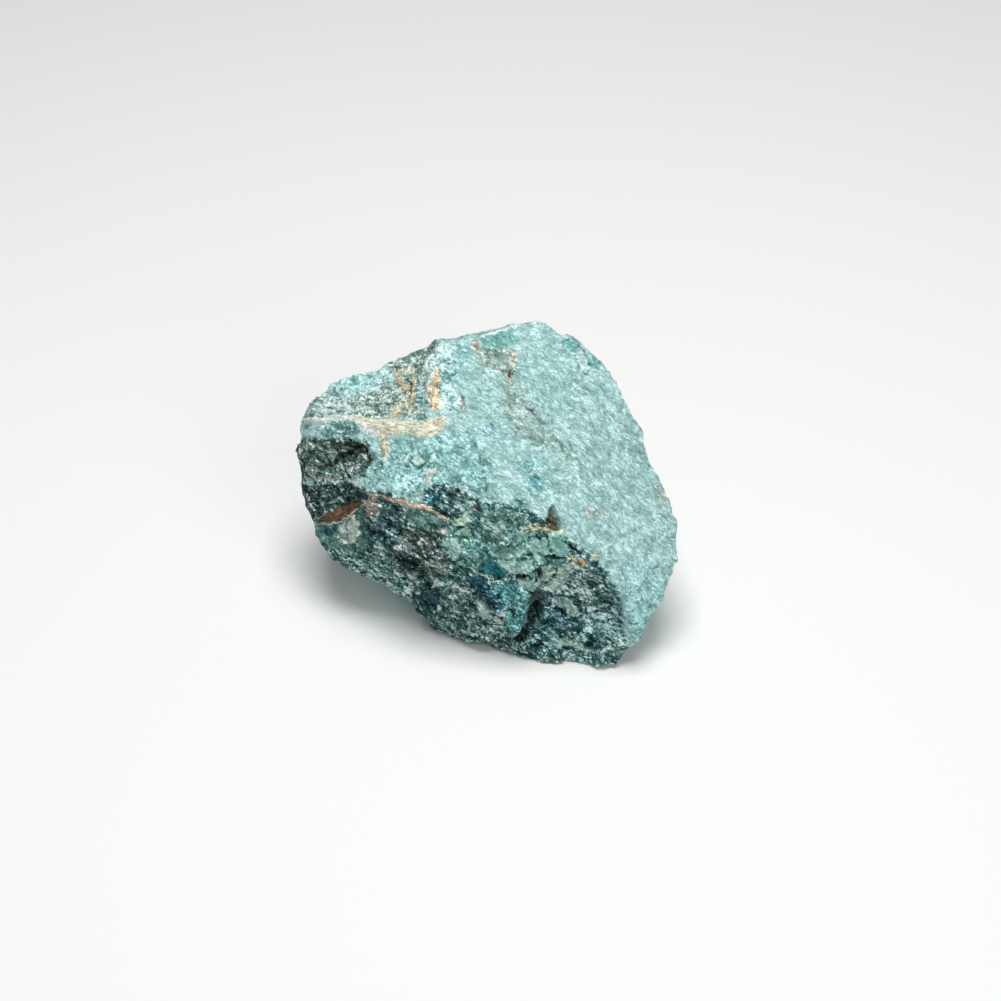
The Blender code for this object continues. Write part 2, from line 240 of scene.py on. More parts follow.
# Flat plates of the front, with crisp borders: outline, colour, rise in millimetres and grain.
PLATES = {
    "pale 1": ([(455, 517), (465, 516), (471, 521), (464, 527), (459, 526)], PALE_GREEN, 0.2, 0.2),
    "pale 2": ([(452, 535), (459, 529), (471, 528), (470, 535), (459, 536)], PALE_GREEN, 0.2, 0.3),
    "teal 1": ([(442, 542), (448, 537), (458, 538), (460, 549), (459, 559), (450, 561), (448, 550)],
               (0.34, 0.56, 0.49), 0.25, 0.2),
    "teal 2": ([(531, 540), (546, 537), (548, 546), (547, 556), (534, 560), (529, 551)],
               (0.32, 0.55, 0.49), 0.2, 0.15),
    "teal 3": ([(548, 533), (562, 532), (564, 545), (571, 550), (562, 555), (550, 554)],
               (0.26, 0.52, 0.48), 0.1, 0.2),
    "pale 3": ([(539, 566), (548, 565), (555, 572), (548, 578), (541, 582)], (0.50, 0.64, 0.55), 0.2, 0.35),
    "pale 4": ([(556, 566), (572, 560), (578, 566), (566, 576), (558, 578)], (0.38, 0.56, 0.50), 0.15, 0.4),
    "triangle": ([(542, 587), (556, 577), (562, 575), (566, 588), (556, 592)],
                 (0.48, 0.68, 0.61), 0.3, 0.25),
    "teal 4": ([(516, 579), (529, 578), (538, 584), (532, 592), (528, 591), (519, 584)],
               (0.38, 0.60, 0.55), 0.2, 0.2),
    "teal 5": ([(496, 559), (511, 561), (532, 561), (529, 572), (511, 573), (501, 566)],
               (0.39, 0.62, 0.56), 0.2, 0.2),
    "teal 6": ([(491, 552), (508, 548), (527, 543), (530, 552), (512, 560), (494, 558)],
               (0.30, 0.50, 0.45), 0.1, 0.4),
    "glassy": ([(477, 568), (486, 561), (501, 566), (506, 572), (500, 577), (488, 574), (483, 572)],
               (0.02, 0.21, 0.23), 0.1, 0.35),
    "deep blue": ([(465, 579), (477, 573), (485, 577), (492, 584), (491, 589), (504, 598), (505, 609),
                   (494, 612), (485, 602), (476, 597), (471, 589)], DEEP_BLUE, -0.1, 0.85),
    "sea 1": ([(491, 587), (511, 584), (520, 588), (514, 604), (505, 605), (501, 596)],
              (0.16, 0.47, 0.48), 0.15, 0.6),
    "sea 2": ([(520, 588), (531, 594), (528, 612), (516, 616), (514, 604)], (0.21, 0.48, 0.47), 0.25, 0.6),
    "sea 3": ([(506, 612), (516, 617), (527, 613), (526, 626), (516, 630), (508, 624)],
              (0.14, 0.43, 0.44), 0.1, 0.6),
    "pale lens": ([(476, 605), (482, 602), (488, 610), (494, 618), (485, 618), (478, 611)],
                  (0.36, 0.53, 0.48), 0.3, 0.2),
    "slate facet": ([(530, 594), (538, 587), (552, 590), (550, 602), (538, 605), (530, 604)],
                    (0.055, 0.085, 0.09), 0.0, 0.6),
    "arc plate": ([(553, 594), (565, 596), (575, 604), (582, 614), (573, 617), (563, 610), (554, 601)],
                  (0.34, 0.47, 0.44), 0.3, 0.3),
    "lower arc": ([(542, 642), (555, 638), (569, 638), (583, 643), (589, 651), (578, 648), (562, 644),
                   (550, 645)], (0.34, 0.50, 0.45), 0.3, 0.3),
    "white chip": ([(434, 579), (440, 577), (443, 582), (438, 587), (432, 585)],
                   (0.62, 0.76, 0.70), 0.3, 0.1),
    "yellow chip": ([(404, 572), (413, 571), (420, 575), (417, 580), (408, 577)],
                    (0.45, 0.51, 0.40), 0.2, 0.2),
    "chip 3": ([(402, 588), (408, 587), (413, 592), (409, 596), (402, 593)], (0.74, 0.88, 0.84), 0.2, 0.15),
    "chip 4": ([(414, 590), (421, 589), (421, 594), (415, 595)], (0.74, 0.88, 0.84), 0.2, 0.15),
    "cream patch": ([(352, 517), (358, 519), (360, 528), (357, 537), (352, 544), (349, 541), (350, 532),
                     (347, 526)], (0.64, 0.72, 0.64), 0.15, 0.2),
    "vein knot": ([(365, 500), (376, 497), (381, 504), (378, 514), (368, 516), (360, 508)],
                  (0.33, 0.31, 0.26), 0.2, 0.7),
    "dark lens": ([(319, 529), (328, 526), (338, 526), (342, 529), (334, 533), (324, 535), (319, 532)],
                  (0.012, 0.07, 0.085), 0.0, 0.3),
    "green plate": ([(372, 522), (384, 521), (388, 528), (378, 530), (370, 530)],
                    (0.11, 0.20, 0.19), 0.2, 0.4),
    "blue chip": ([(426, 492), (434, 488), (439, 496), (437, 504), (428, 503)],
                  (0.03, 0.13, 0.15), 0.1, 0.8),
    "dark chip": ([(446, 490), (460, 486), (466, 494), (464, 506), (452, 506)],
                  (0.06, 0.12, 0.11), 0.0, 0.9),
    "knob": ([(472, 503), (480, 500), (485, 506), (481, 511), (473, 510)], (0.05, 0.08, 0.08), 0.3, 0.8),
    "ice 1": ([(394, 478), (408, 472), (420, 479), (416, 492), (402, 493)], (0.50, 0.82, 0.80), 0.2, 0.6),
    "ice 2": ([(364, 474), (372, 469), (379, 476), (376, 484), (366, 483)], (0.32, 0.58, 0.53), 0.2, 0.3),
    "white 1": ([(401, 462), (406, 456), (409, 461), (405, 464)], WHITE, 0.3, 0.1),
    "white 2": ([(412, 461), (419, 455), (426, 460), (424, 465), (416, 465)], WHITE, 0.3, 0.2),
    "white 3": ([(431, 458), (434, 453), (436, 457), (433, 464), (431, 463)], WHITE, 0.2, 0.1),
    "beige streak": ([(423, 482), (428, 471), (437, 467), (436, 474), (428, 484)],
                     (0.55, 0.58, 0.50), 0.2, 0.2),
    "white 4": ([(458, 486), (464, 484), (468, 488), (464, 492), (459, 491)], (0.68, 0.76, 0.72), 0.2, 0.2),
    "teal facet": ([(537, 420), (545, 417), (550, 421), (546, 426)], (0.16, 0.34, 0.36), -0.1, 0.3),
    "teal spot 1": ([(526, 478), (536, 475), (543, 482), (540, 490), (530, 489)],
                    (0.12, 0.36, 0.37), 0.0, 0.4),
    "teal spot 2": ([(518, 462), (528, 460), (532, 466), (524, 470)], (0.17, 0.41, 0.41), 0.0, 0.4),
    "teal spot 3": ([(513, 501), (520, 499), (525, 505), (518, 508)], (0.05, 0.16, 0.16), -0.1, 0.6),
    "blue spot": ([(455, 478), (461, 474), (464, 478), (458, 482)], (0.08, 0.27, 0.34), 0.0, 0.4),
    "teal edge": ([(562, 342), (574, 341), (578, 350), (570, 353), (563, 348)],
                  (0.17, 0.44, 0.42), 0.0, 0.3),
    "teal edge 2": ([(587, 357), (594, 357), (599, 363), (593, 367)], (0.17, 0.44, 0.42), 0.0, 0.3),
    "pale streak": ([(575, 349), (581, 348), (589, 368), (586, 373), (580, 364)],
                    (0.53, 0.70, 0.66), 0.1, 0.2),
    "white border": ([(425, 384), (429, 381), (429, 396), (431, 407), (427, 404)], WHITE, 0.2, 0.3),
    "bright block": ([(437, 366), (447, 363), (454, 371), (450, 376), (444, 370), (440, 373)],
                     (0.66, 0.88, 0.85), 0.3, 0.3),
    "bright 1": ([(443, 386), (449, 383), (452, 394), (447, 400), (442, 396)], ICE, 0.25, 0.4),
    "bright 2": ([(419, 394), (425, 389), (427, 398), (422, 404)], ICE, 0.2, 0.4),
    "bright 3": ([(441, 403), (449, 401), (452, 410), (444, 415), (439, 411)], (0.66, 0.88, 0.86), 0.2, 0.4),
}

# Veins that stand out of the front: points (across, down, half width), rise in millimetres, colour and grain.
# A vein with a half width above this many pixels has a ragged border.
BROAD = 3
VEINS = {
    "grey cream": ([(306, 420, 2.6), (321, 420, 2.8), (346, 418.4, 2.6), (357, 420, 4.2), (366, 425, 8.2),
                    (378, 428, 9.5), (390, 428, 8.0)], 0.3, (0.72, 0.78, 0.70), 0.15),
    "cream": ([(354, 418, 1.0), (364, 421, 3.4), (378, 425, 7.0), (390, 427, 8.6), (403, 427, 6.9),
               (415, 428.6, 8.0), (424, 429.6, 9.6), (433, 427, 9.4), (440, 423, 6.3), (449, 418, 0.8)],
              0.35, CREAM, 0.15),
    "cream branch": ([(384, 436, 5.0), (385, 448, 4.6), (386, 456, 4.4), (385, 461, 1.6)],
                     0.25, (0.66, 0.59, 0.45), 0.3),
    "ochre 1": ([(396, 376, 1.6), (401, 382, 4.2), (405, 389, 3.2), (407, 394, 1.0)], 0.15, OCHRE, 0.35),
    "ochre 2": ([(398, 402, 1.0), (396, 409, 3.4), (396, 416, 3.8), (394, 421, 1.4)],
                0.15, (0.72, 0.60, 0.45), 0.3),
    "ochre 3": ([(436.5, 374, 4.0), (435, 384, 6.2), (434.5, 396, 6.6), (435, 406, 5.8), (435.5, 410, 3.0)],
                0.15, OCHRE, 0.35),
    "ochre stripe": ([(415, 377, 1.0), (413, 390, 2.2), (411, 402, 2.4), (413, 410, 1.4)],
                     0.1, (0.66, 0.53, 0.36), 0.3),
    "thin tan": ([(312, 478, 0.9), (327, 480, 0.9), (349, 482, 0.9), (363, 486, 1.0), (369, 493, 1.0),
                  (370, 501, 0.8)], 0.12, (0.42, 0.40, 0.33), 0.2),
    "tan": ([(372, 495, 1.6), (382, 496, 1.8), (393, 501, 1.8), (404, 502, 2.6), (415, 506, 2.8),
             (425, 507, 2.4), (433, 512, 1.9), (443, 517, 1.4), (449, 520, 0.8)], 0.25, TAN, 0.15),
    "brown lens": ([(319, 521, 1.4), (328, 517.5, 4.6), (337, 514.5, 6.8), (346, 510.5, 7.2),
                    (354, 507, 5.2), (361, 503, 1.8)], 0.15, BROWN, 0.2),
    "brown core": ([(323, 520, 0.8), (329, 517.5, 3.0), (337, 514.5, 5.0), (346, 510.5, 5.2),
                    (354, 507, 3.6), (360, 503, 1.0)], 0.05, (0.155, 0.095, 0.058), 0.4),
    "lens edge": ([(316, 525, 0.8), (323, 523, 1.3), (336, 523, 1.2), (347, 518, 1.2), (358, 509, 1.0)],
                  0.15, (0.50, 0.46, 0.35), 0.2),
    "squiggle": ([(328, 504, 0.8), (334, 501, 1.1), (339, 497, 1.1), (343, 502, 0.8)],
                 0.15, GREY_GREEN, 0.3),
    "crust": ([(524, 530, 2.0), (533, 527.5, 4.2), (541, 528, 3.6), (551, 531, 3.2), (562, 531, 2.4)],
              0.2, (0.85, 0.78, 0.56), 0.6),
    "white lip": ([(449, 586, 0.8), (458, 588, 1.3), (464, 591, 2.2)], 0.25, (0.88, 0.94, 0.92), 0.1),
    "light ridge": ([(458, 563, 0.8), (470, 567, 1.3), (480, 573, 1.2), (491, 583, 0.9)],
                    0.25, (0.40, 0.55, 0.48), 0.3),
    "pit lip": ([(545, 562, 0.8), (556, 563, 1.2), (566, 560, 0.8)], 0.15, GREEN_GREY, 0.3),
    "seam 1": ([(557, 441, 0.6), (570, 460, 0.9), (582, 479, 0.9), (595, 497, 0.6)],
               -0.08, (0.24, 0.40, 0.37), 0.4),
    "seam 2": ([(566, 438, 0.5), (580, 460, 0.7), (593, 484, 0.5)], -0.08, (0.26, 0.43, 0.40), 0.4),
    "streak 1": ([(441, 346, 1.0), (433, 354, 1.2), (427, 364, 1.1), (420, 382, 0.7)], 0.3, WHITE, 0.15),
    "streak 2": ([(446, 347, 0.8), (438, 356, 1.1), (431, 367, 1.0), (424, 383, 0.7)], 0.3, WHITE, 0.15),
    "streak 3": ([(450, 350, 0.7), (443, 357, 0.9), (436, 366, 0.8)], 0.25, ICE, 0.15),
    "scoop arc": ([(566, 606, 0.7), (574, 614, 1.0), (581, 620, 0.7)], 0.3, GREY_GREEN, 0.3),
    # A white line along the top rim: a painted highlight where the rim faces up into the light.
    "top rim highlight": ([(478, 338, 0.8), (492, 333, 1.2), (510, 327, 1.2), (535, 322, 0.8)], 0.1, WHITE, 0.1),
    "lower edge": ([(520, 650, 0.5), (545, 657, 0.7), (566, 661, 0.6)], 0.1, (0.26, 0.30, 0.26), 0.6),
    "left lower rim": ([(334, 548, 0.7), (352, 560, 1.0), (392, 584, 0.8)], 0.1, PALE_TEAL, 0.5),
}

# Spots on the front: middle, radii, turn in degrees clockwise, colour, cover and grain.
SPOTS = [
    ((384, 381), (9, 7), -30, (0.50, 0.70, 0.69), 0.6, 0.5),
    ((350, 409), (8, 5), -10, (0.62, 0.76, 0.73), 0.7, 0.5),
    ((405, 372), (12, 8), -20, (0.64, 0.68, 0.56), 0.8, 0.5),
    ((406, 406), (9, 11), 0, (0.62, 0.66, 0.54), 0.8, 0.5),
    ((411, 390), (2.0, 9), 0, (0.12, 0.08, 0.03), 0.9, 0.3),
    ((437, 423), (6, 4.5), -30, RUST, 0.75, 0.2),
    ((437, 378), (4, 5), 0, (0.42, 0.34, 0.27), 0.7, 0.4),
    ((476, 346), (3.5, 8), -8, (0.42, 0.29, 0.20), 0.8, 0.5),
    ((513, 356), (3, 9), -25, (0.55, 0.48, 0.33), 0.75, 0.4),
    ((510, 374), (1.8, 4.5), 0, (0.09, 0.05, 0.02), 0.95, 0.2),
    ((511, 380), (3, 3.5), 0, (0.70, 0.44, 0.25), 0.8, 0.3),
    ((463, 402), (2.6, 9), -10, (0.30, 0.27, 0.20), 0.8, 0.5),
    ((591, 512), (9, 5), 20, (0.62, 0.56, 0.45), 0.5, 0.4),
    ((583, 561), (6, 4), 10, (0.80, 0.52, 0.30), 0.85, 0.4),
    ((574, 559), (5, 3), 0, (0.60, 0.50, 0.36), 0.6, 0.5),
    ((595, 558), (4.5, 4.5), 0, (0.80, 0.80, 0.66), 0.9, 0.3),
    ((662, 496), (8, 14), 0, (0.42, 0.47, 0.41), 0.5, 0.35),
    ((585, 394), (6, 6), 0, (0.33, 0.52, 0.44), 0.6, 0.3),
    ((568, 455), (22, 14), 40, (0.38, 0.55, 0.49), 0.5, 0.35),
    ((533, 465), (11, 10), 0, (0.24, 0.50, 0.50), 0.4, 0.4),
    ((556, 524), (4.5, 9), 0, OLIVE, 0.9, 0.6),
    ((500, 619), (6, 4), 20, WHITE, 0.85, 0.3),
    ((534, 534), (3, 3), 0, WHITE, 0.8, 0.3),
    ((377, 545), (3, 2.5), 0, WHITE, 0.8, 0.3),
    ((385, 548), (5, 2), 10, WHITE, 0.6, 0.5),
    ((417, 544), (2.5, 2), 0, WHITE, 0.9, 0.2),
    ((446, 531), (4, 4), 0, (0.55, 0.54, 0.48), 0.85, 0.3),
    ((348, 532), (11, 14), 20, (0.40, 0.52, 0.46), 0.8, 0.3),
    ((455, 371), (14, 12), 0, (0.24, 0.48, 0.47), 0.6, 0.3),
    ((465, 355), (10, 9), 0, (0.26, 0.52, 0.50), 0.6, 0.25),
    ((455, 402), (8, 12), 0, ICE, 0.6, 0.35),
    ((470, 478), (9, 5), 0, (0.20, 0.46, 0.48), 0.6, 0.4),
    ((604, 512), (3, 6), -35, (0.42, 0.50, 0.44), 0.4, 0.3),
    ((645, 600), (26, 48), 0, (0.38, 0.67, 0.67), 0.8, 0.32),
    ((612, 650), (8, 10), 30, (0.14, 0.25, 0.22), 0.6, 0.8),
    ((540, 655), (16, 5), 15, (0.07, 0.14, 0.15), 0.6, 0.8),
]

# Where the outline is pushed out, or in below zero: middle, radii and turn of each place, and millimetres.
NUDGES = [
    ((640, 632), (26, 26), 0, 0.7),
    ((653, 617), (13, 12), 0, 0.5),
    ((667, 598), (14, 16), 0, -0.7),
    ((598, 668), (20, 12), 0, -0.9),
    ((448, 336), (46, 16), -8, -0.6),
    ((473, 331), (24, 12), -10, -0.6),
    ((414, 353), (13, 10), -30, 0.6),
    ((384, 362), (22, 14), -25, -0.5),
    ((345, 374), (22, 14), -25, -0.4),
]

# Cracks and holes: points (across, down, half width), and depth in millimetres. Hairlines, up to this deep,
# come and go. The pit, deeper than this, has an olive floor, and the others are painted nearly black: painted
# shade in the cracks, and along the scoop's left wall the painted shadow under its ledge.
HAIRLINE = 0.4
PIT = 1.5
CRACKS = [
    ([(475, 444, 0.8), (480, 455, 1.1), (483, 467, 1.2), (485, 479, 1.2), (488, 490, 1.0)], 0.3),
    ([(519, 399, 0.4), (527, 407, 0.9), (534, 413, 0.9), (542, 423, 0.5)], 0.35),
    ([(410, 384, 0.7), (411, 400, 0.7)], 0.3),
    ([(426, 356, 0.6), (420, 368, 0.9), (417, 378, 0.6)], 0.4),
    ([(541, 440, 0.5), (547, 447, 0.6)], 0.2),
    ([(595, 508, 0.4), (602, 516, 0.6), (611, 529, 0.4)], 0.15),
    ([(546, 557, 1.4), (555, 558, 1.8), (565, 559, 1.2)], 0.8),
    ([(548, 563, 1.2), (551, 563, 1.2)], 0.5),
    ([(539, 554, 1.2), (543, 556, 1.2)], 0.4),
    ([(569, 544, 1.6), (573, 549, 2.4), (579, 552, 1.0)], 0.5),
    ([(534, 572, 1.6), (540, 569, 2.6), (540, 577, 1.8)], 0.6),
    ([(516, 578, 1.8), (522, 577, 2.4), (528, 574, 1.0)], 0.5),
    ([(554, 506, 1.0), (553, 513, 3.6), (553, 521, 5.6), (554, 526, 5.0)], 1.8),
    ([(499, 619, 1.3), (502, 620, 1.3)], 0.5),
    # The scoop's left wall: the painted shadow cast by the proud piece to its left.
    ([(537, 604, 3.0), (533, 612, 5.6), (532, 624, 5.2), (525, 634, 4.4), (518, 642, 4.6)], 0.9),
    ([(462, 584, 1.0), (468, 590, 1.6), (473, 596, 1.2)], 0.4),
    ([(330, 466, 2.0), (340, 456, 3.2), (350, 452, 2.6)], 0.8),
    ([(346, 444, 1.6), (357, 448, 2.8), (362, 446, 1.4)], 0.8),
    ([(347, 474, 1.2), (349, 478, 1.2)], 0.5),
    ([(372, 531, 1.6), (380, 534, 2.2), (386, 532, 1.2)], 0.4),
    ([(390, 524, 0.9), (400, 531, 1.0), (396, 538, 0.9)], 0.3),
    ([(398, 560, 1.6), (408, 563, 2.0), (416, 566, 1.6)], 0.5),
]


def to_front(places):
    """These places on the front's own axes: across, up and towards the viewer."""
    x, y, z = (places - np.array(FRONT_MIDDLE)).T
    lean = math.pi / 2 - FRONT_ABOVE_HORIZON
    return np.stack(
        [x, y * math.cos(lean) + z * math.sin(lean), z * math.cos(lean) - y * math.sin(lean)], axis=1
    )


def turned_to_front(directions):
    return to_front(directions + np.array(FRONT_MIDDLE))


def seen_at(front_places):
    """Where the camera sees these places, in pixels across and down."""
    across, up, near = front_places.T
    pixel = SENSOR / LENS / VIEW_PIXELS * (CAMERA_PLACE.z - near)
    middle = VIEW_PIXELS / 2
    from_left = middle + (across - CAMERA_PLACE.x) / pixel
    from_top = middle - (up - CAMERA_PLACE.y) / pixel
    return np.stack([from_left, from_top], axis=1)


def ramp(values, low, high):
    """From 0 at low to 1 at high, easing in and out."""
    share = np.clip((values - low) / (high - low), 0, 1)
    return share * share * (3 - 2 * share)


class Chance:
    """Random numbers that depend on a place alone, and the crystals and swells made from them."""

    def __init__(self, seed):
        drawn = np.random.RandomState(seed)
        self.order = drawn.permutation(TABLE_SIZE)
        self.numbers = drawn.rand(TABLE_SIZE, 3)

    def of_cells(self, cells):
        across, along, up = (cells % TABLE_SIZE).T
        mixed = self.order[(self.order[across] + along) % TABLE_SIZE]
        return self.numbers[self.order[(mixed + up) % TABLE_SIZE]]

    def swell(self, places, width):
        """A smooth, random rise and fall, from about -0.5 to 0.5, with hills about this wide."""
        at = places / width
        cells = np.floor(at).astype(int)
        inside = at - cells
        eased = inside * inside * (3 - 2 * inside)
        total = np.zeros(len(places))
        for corner in np.ndindex(2, 2, 2):
            slope = self.of_cells(cells + corner) * 2 - 1
            share = np.prod(np.where(corner, eased, 1 - eased), axis=1)
            total += share * ((inside - corner) * slope).sum(axis=1)
        return total

    def crystals(self, places, width):
        """Crystals about this wide. For each place it gives the rise of its crystal's flat, tilted face,
        in widths, three random numbers of that crystal, and how far the place is from the crystal's edge."""
        at = places / width
        cells = np.floor(at).astype(int)
        nearest = np.full(len(places), np.inf)
        second = np.full(len(places), np.inf)
        middle = np.zeros_like(at)
        own = cells.copy()
        for step in np.ndindex(3, 3, 3):
            cell = cells + step - 1
            seed = cell + self.of_cells(cell)
            away = np.linalg.norm(at - seed, axis=1)
            closer = away < nearest
            second = np.where(closer, nearest, np.minimum(second, away))
            nearest = np.where(closer, away, nearest)
            middle[closer] = seed[closer]
            own[closer] = cell[closer]
        numbers = self.of_cells(own[:, ::-1] + 7)
        rise = ((at - middle) * (numbers * 2 - 1)).sum(axis=1)
        return rise, numbers, second - nearest


class Skin:
    """The points of a mesh: their places and smooth normals, also on the front's own axes, and where the
    camera sees them."""

    def __init__(self, mesh):
        count = len(mesh.vertices)
        flat = np.empty(count * 3)
        mesh.vertices.foreach_get("co", flat)
        self.places = flat.reshape(-1, 3) / MM
        mesh.vertices.foreach_get("normal", flat)
        self.normals = flat.reshape(-1, 3).copy()
        ends = np.empty(len(mesh.edges) * 2, int)
        mesh.edges.foreach_get("vertices", ends)
        self.ends = ends.reshape(-1, 2)
        self.neighbours = np.maximum(np.bincount(ends, minlength=count), 1)
        self.smooth = self.evened(self.normals, NORMALS_EVENED)
        self.smooth /= np.linalg.norm(self.smooth, axis=1)[:, None]
        self.front = to_front(self.places)
        self.front_normals = turned_to_front(self.smooth)
        self.seen = ramp(self.front_normals[:, 2], 0.0, 0.2)
        self.view = seen_at(self.front)

    def evened(self, values, times):
        """These values, each replaced by the average of its neighbours', this many times."""
        values = values.reshape(len(values), -1).copy()
        one, other = self.ends.T
        for _ in range(times):
            for column in values.T:
                total = np.bincount(one, column[other], len(column))
                total += np.bincount(other, column[one], len(column))
                column[:] = total / self.neighbours
        return values


def off_line(view, line):
    """How many pixels each seen place is from this line."""
    nearest = np.full(len(view), np.inf)
    for start, end in zip(np.array(line[:-1], float), np.array(line[1:], float)):
        run = end - start
        share = np.clip((view - start) @ run / (run @ run), 0, 1)
        nearest = np.minimum(nearest, np.linalg.norm(view - start - share[:, None] * run, axis=1))
    return nearest


def in_vein(view, line):
    """1 along the middle of this vein, 0 at its borders and below zero outside. Its points give its half
    width. With it comes where each seen place lies in the vein: how far along it and how far to one side,
    in pixels."""
    best = np.full(len(view), -np.inf)
    along = np.zeros(len(view))
    aside = np.zeros(len(view))
    passed = 0.0
    for start, end in zip(np.array(line[:-1], float), np.array(line[1:], float)):
        run = (end - start)[:2]
        length = np.linalg.norm(run)
        share = np.clip((view - start[:2]) @ run / length ** 2, 0, 1)
        x, y = (view - start[:2] - share[:, None] * run).T
        away = np.hypot(x, y)
        inside = 1 - away / (start[2] + share * (end[2] - start[2]))
        nearer = inside > best
        best = np.where(nearer, inside, best)
        along = np.where(nearer, passed + share * length, along)
        aside = np.where(nearer, away * np.sign(run[0] * y - run[1] * x), aside)
        passed += length
    return best, along, aside


def within(view, corners):
    """How many pixels each seen place is inside this outline, below zero outside it."""
    inside = np.zeros(len(view), bool)
    x, y = view.T
    for (x1, y1), (x2, y2) in zip(corners, corners[1:] + corners[:1]):
        if y1 != y2:
            crossing = x1 + (y - y1) * (x2 - x1) / (y2 - y1)
            inside ^= ((y1 > y) != (y2 > y)) & (x < crossing)
    away = off_line(view, corners + corners[:1])
    return np.where(inside, away, -away)


def in_spot(view, middle, radii, turn=0.0):
    """1 at this oval spot's middle, 0 at its rim and below zero outside. It is turned clockwise, in
    degrees."""
    angle = math.radians(turn)
    x, y = (view - np.array(middle, float)).T
    along = (x * math.cos(angle) + y * math.sin(angle)) / radii[0]
    across = (y * math.cos(angle) - x * math.sin(angle)) / radii[1]
    return 1 - np.hypot(along, across)


def stone_block():
    """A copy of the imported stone, merged, resurfaced finely, and its flat triangles evened out."""
    stone = bpy.data.objects.new("rough_apatite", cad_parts["apatite"].data.copy())
    bpy.context.scene.collection.objects.link(stone)
    bpy.ops.object.select_all(action="DESELECT")
    bpy.context.view_layer.objects.active = stone
    stone.select_set(True)
    bpy.ops.object.mode_set(mode="EDIT")
    bpy.ops.mesh.select_all(action="SELECT")
    bpy.ops.mesh.remove_doubles(threshold=1e-6)
    bpy.ops.object.mode_set(mode="OBJECT")
    fine = stone.modifiers.new("Resurface", "REMESH")
    fine.mode = "VOXEL"
    fine.voxel_size = FINENESS * MM
    bpy.ops.object.modifier_apply(modifier="Resurface")
    even = stone.modifiers.new("Even out", "SMOOTH")
    even.factor = 0.5
    even.iterations = SOFTENING
    bpy.ops.object.modifier_apply(modifier="Even out")
    turned_away = np.flatnonzero(Skin(stone.data).front_normals[:, 2] < 0.0)
    group = stone.vertex_groups.new(name="turned away")
    group.add(turned_away.tolist(), 1.0, "REPLACE")
    fewer = stone.modifiers.new("Fewer triangles", "DECIMATE")
    fewer.ratio = TRIANGLES / (2 * len(stone.data.polygons))
    fewer.vertex_group = group.name
    bpy.ops.object.modifier_apply(modifier="Fewer triangles")
    stone.vertex_groups.clear()
    return stone


def roughness_of(skin):
    """How rough the stone is broken: least on the smooth upper right face, and 1 on the dark front."""
    smooth_face = ramp(skin.front_normals @ np.array(SMOOTH_WAY), 0.86, 0.95)
    broken = np.maximum(within(skin.view, DARK_FRONT), within(skin.view, BROKEN_LEFT))
    return np.maximum(ramp(broken, -3, 3) * skin.seen, ROUGH - SMOOTHER * smooth_face)


class Coats:
    """What is laid on a skin's points: lift in millimetres, how much of their crystals' relief is left,
    brightness in stops, colour, grain, how far their crystals have dark rims, and how far along and to one
    side they lie in a fibrous vein, in pixels, with how fibrous they are."""

    def __init__(self, skin):
        count = len(skin.places)
        self.skin = skin
        self.lift = np.zeros(count)
        self.relief = np.ones(count)
        self.stops = np.zeros(count)
        self.colour = np.tile(np.array(TEAL), (count, 1))
        self.grain = np.full(count, 0.2)
        self.dark_rims = np.zeros(count)
        self.fibre = np.zeros((count, 3))

    def paint(self, colour, cover, grain=None):
        cover = np.clip(cover, 0, 1)
        self.colour += (np.array(colour) - self.colour) * cover[:, None]
        if grain is not None:
            self.grain += (grain - self.grain) * cover

    def flatten(self, cover, grain):
        """Leaves only this grain of the crystals' relief, where this covers."""
        self.relief -= cover * (1 - grain) * self.relief


def lay_ground(coats, places):
    """The stone's own blotches, and the slate patches and veins of the sides not seen from the front."""
    skin = coats.skin
    chance = Chance(5)
    wide = chance.swell(places, 11.0)
    mid = chance.swell(places + 40, 4.5)
    fine = chance.swell(places + 90, 1.8)
    hidden = 1 - skin.seen
    coats.paint(PALE_TEAL, ramp(mid + fine * 0.6, 0.05, 0.5) * (0.2 + 0.4 * hidden))
    coats.paint(DEEP_TEAL, ramp(-mid - fine * 0.5, 0.12, 0.55) * (0.15 + 0.35 * hidden))
    coats.paint(GREY_GREEN, ramp(wide + fine * 0.4, 0.1, 0.4) * hidden * 0.4)
    coats.paint(SLATE, ramp(wide * 1.3 + mid * 0.5 + fine * 0.15, 0.0, 0.2) * hidden * 0.85, 1.0)
    line = np.abs(chance.swell(places + 17, 22.0) + fine * 0.03)
    along_it = ramp(chance.swell(places + 60, 13.0), 0.0, 0.1) * hidden
    coats.paint(TAN, (1 - ramp(line, 0.008, 0.02)) * along_it * 0.9, 0.3)
    coats.lift += (1 - ramp(line, 0.004, 0.03)) * along_it * 0.25


def line_at(deep, inside, half_width):
    """1 at so many pixels inside a border, and 0 this far on either side of there."""
    return ramp(-np.abs(deep - inside), -half_width, 0.0)


